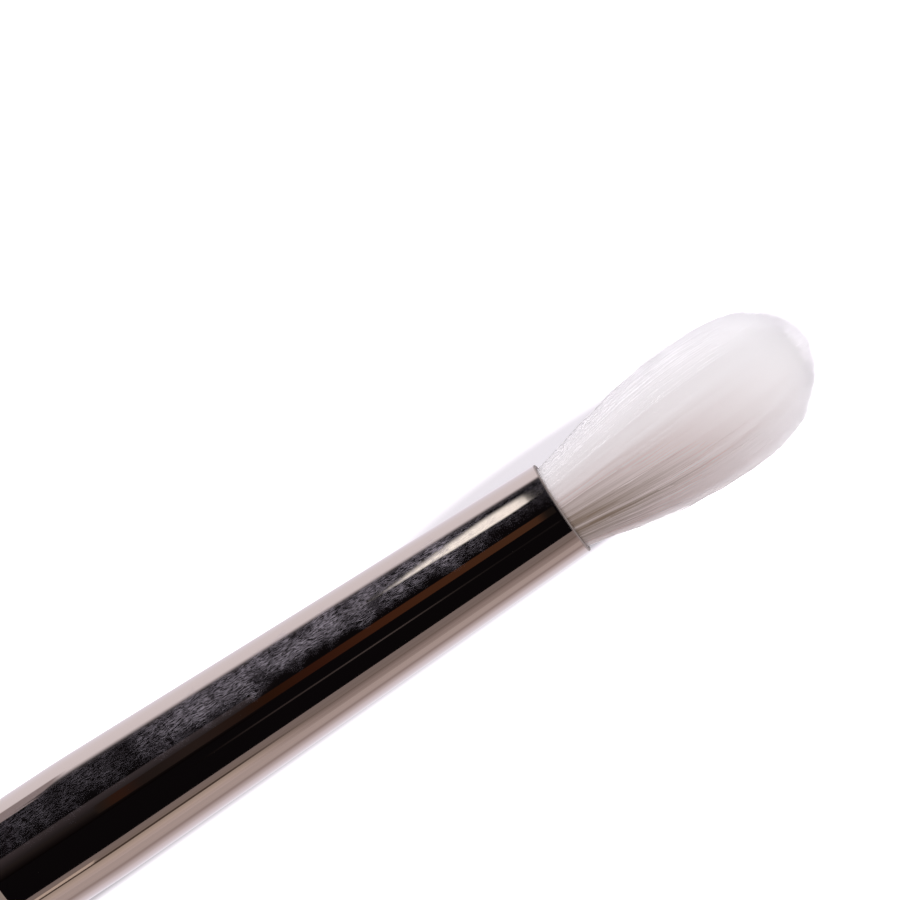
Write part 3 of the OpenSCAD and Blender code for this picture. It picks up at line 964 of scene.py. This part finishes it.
def studio_cards():
    """Glowing cards, seen only in reflections, that stand for the lamp, walls and rails that the polished
    metal and the lacquer mirror.
    """
    card("lamp_card", (MOUTH_X - 14.6 * MM, 0.266, 0.12), (0.0237, 0.22), lamp_glow(),
         facing=(MOUTH_X - 14.6 * MM, 0, 0.12))
    shelf = ((0.02, (0.020, 0.014, 0.011)), (0.04, (0.036, 0.012, 0.006)), (0.065, (0.034, 0.013, 0.008)),
             (0.09, (0.016, 0.011, 0.010)), (0.2, (0.025, 0.016, 0.014)), (0.295, (0.022, 0.011, 0.008)),
             (0.343, (0.026, 0.009, 0.004)), (0.437, (0.038, 0.011, 0.006)), (0.6, (0.062, 0.020, 0.009)),
             (0.87, (0.075, 0.030, 0.015)), (0.90, (0.035, 0.018, 0.012)), (0.92, (0.012, 0.009, 0.008)))
    card("shelf", (MOUTH_X - 30 * MM, 0.0415, 0.30), (0.070, 0.081), graded_glow("shelf", "X", shelf))
    beam = ((0.12, (0.047, 0.037, 0.040)), (0.28, (0.036, 0.028, 0.030)), (0.45, (0.023, 0.018, 0.019)),
            (0.6, (0.018, 0.013, 0.012)), (0.75, (0.010, 0.007, 0.007)), (1.0, (0.002, 0.001, 0.001)))
    card("beam", (MOUTH_X - 78 * MM, 0.06, 0.301), (0.070, 0.18), graded_glow("beam", "Y", beam))
    rail = ((0.0, (0.014, 0.011, 0.011)), (0.2, (0.009, 0.007, 0.007)), (0.33, (0.022, 0.017, 0.016)),
            (0.5, (0.075, 0.058, 0.055)), (0.76, (0.042, 0.031, 0.030)), (0.97, (0.003, 0.002, 0.002)))
    card("rail", (MOUTH_X - 26 * MM, -0.112, 0.30), (0.056, 0.014), graded_glow("rail", "X", rail))
    card("wall", (MOUTH_X - 30 * MM, -0.30, 0.103), (0.6, 0.206), wall_glow(),
         facing=(MOUTH_X - 30 * MM, 0, 0.103))
    card("ledge", (-0.042, -0.295, 0.128), (0.045, 0.03), (0.60, 0.46, 0.39), facing=(-0.042, 0, 0.128))
    card("box", (-0.05, 0.30, 0.00925), (0.06, 0.0185), (0.325, 0.26, 0.265), facing=(-0.05, 0, 0.00925))
    card("near_end", (MOUTH_X + 0.45, 0, 0.25), (0.8, 0.4), (0.5, 0.47, 0.45), facing=FERRULE_MIDDLE)
    card("far_end", (MOUTH_X - 0.55, 0, 0.25), (0.8, 0.4), (0.36, 0.30, 0.27), facing=FERRULE_MIDDLE)


class BRUSH_OT_studio(bpy.types.Operator):
    """Makes the table, the camera and the lights"""
    bl_idname = "brush.studio"
    bl_label = "Studio"

    def execute(self, context):
        settings = context.scene.brush_studio
        context.scene.view_settings.view_transform = "Standard"
        studio_world(settings)
        table_top(settings)
        studio_camera(settings)
        studio_lights()
        studio_cards()
        return {"FINISHED"}


class BRUSH_PT_sidebar(bpy.types.Panel):
    """Lists the steps that build the brush"""
    bl_idname = "BRUSH_PT_sidebar"
    bl_label = "Eyeshadow Brush"
    bl_space_type = "VIEW_3D"
    bl_region_type = "UI"
    bl_category = "Brush"

    def draw(self, context):
        for step in STEPS:
            self.layout.operator(step.bl_idname)


SETTINGS = {"brush_hair": HairSettings, "brush_ferrule": FerruleSettings,
            "brush_handle": HandleSettings, "brush_studio": StudioSettings}
STEPS = (BRUSH_OT_studio, BRUSH_OT_ferrule, BRUSH_OT_handle, BRUSH_OT_bonds, BRUSH_OT_bristles)


def register():
    """Adds the add-on's classes, and its settings to the scene."""
    for kind in (*SETTINGS.values(), *STEPS, BRUSH_PT_sidebar):
        bpy.utils.register_class(kind)
    for name, kind in SETTINGS.items():
        setattr(bpy.types.Scene, name, PointerProperty(type=kind))


def unregister():
    """Takes the settings and the classes away again."""
    for name in SETTINGS:
        delattr(bpy.types.Scene, name)
    for kind in reversed((*SETTINGS.values(), *STEPS, BRUSH_PT_sidebar)):
        bpy.utils.unregister_class(kind)


def main():
    """Registers the add-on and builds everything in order."""
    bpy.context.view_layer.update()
    register()
    bpy.ops.brush.studio()
    bpy.ops.brush.ferrule()
    bpy.ops.brush.handle()
    bpy.ops.brush.bonds()
    bpy.ops.brush.bristles()


if __name__ == "__main__":
    main()
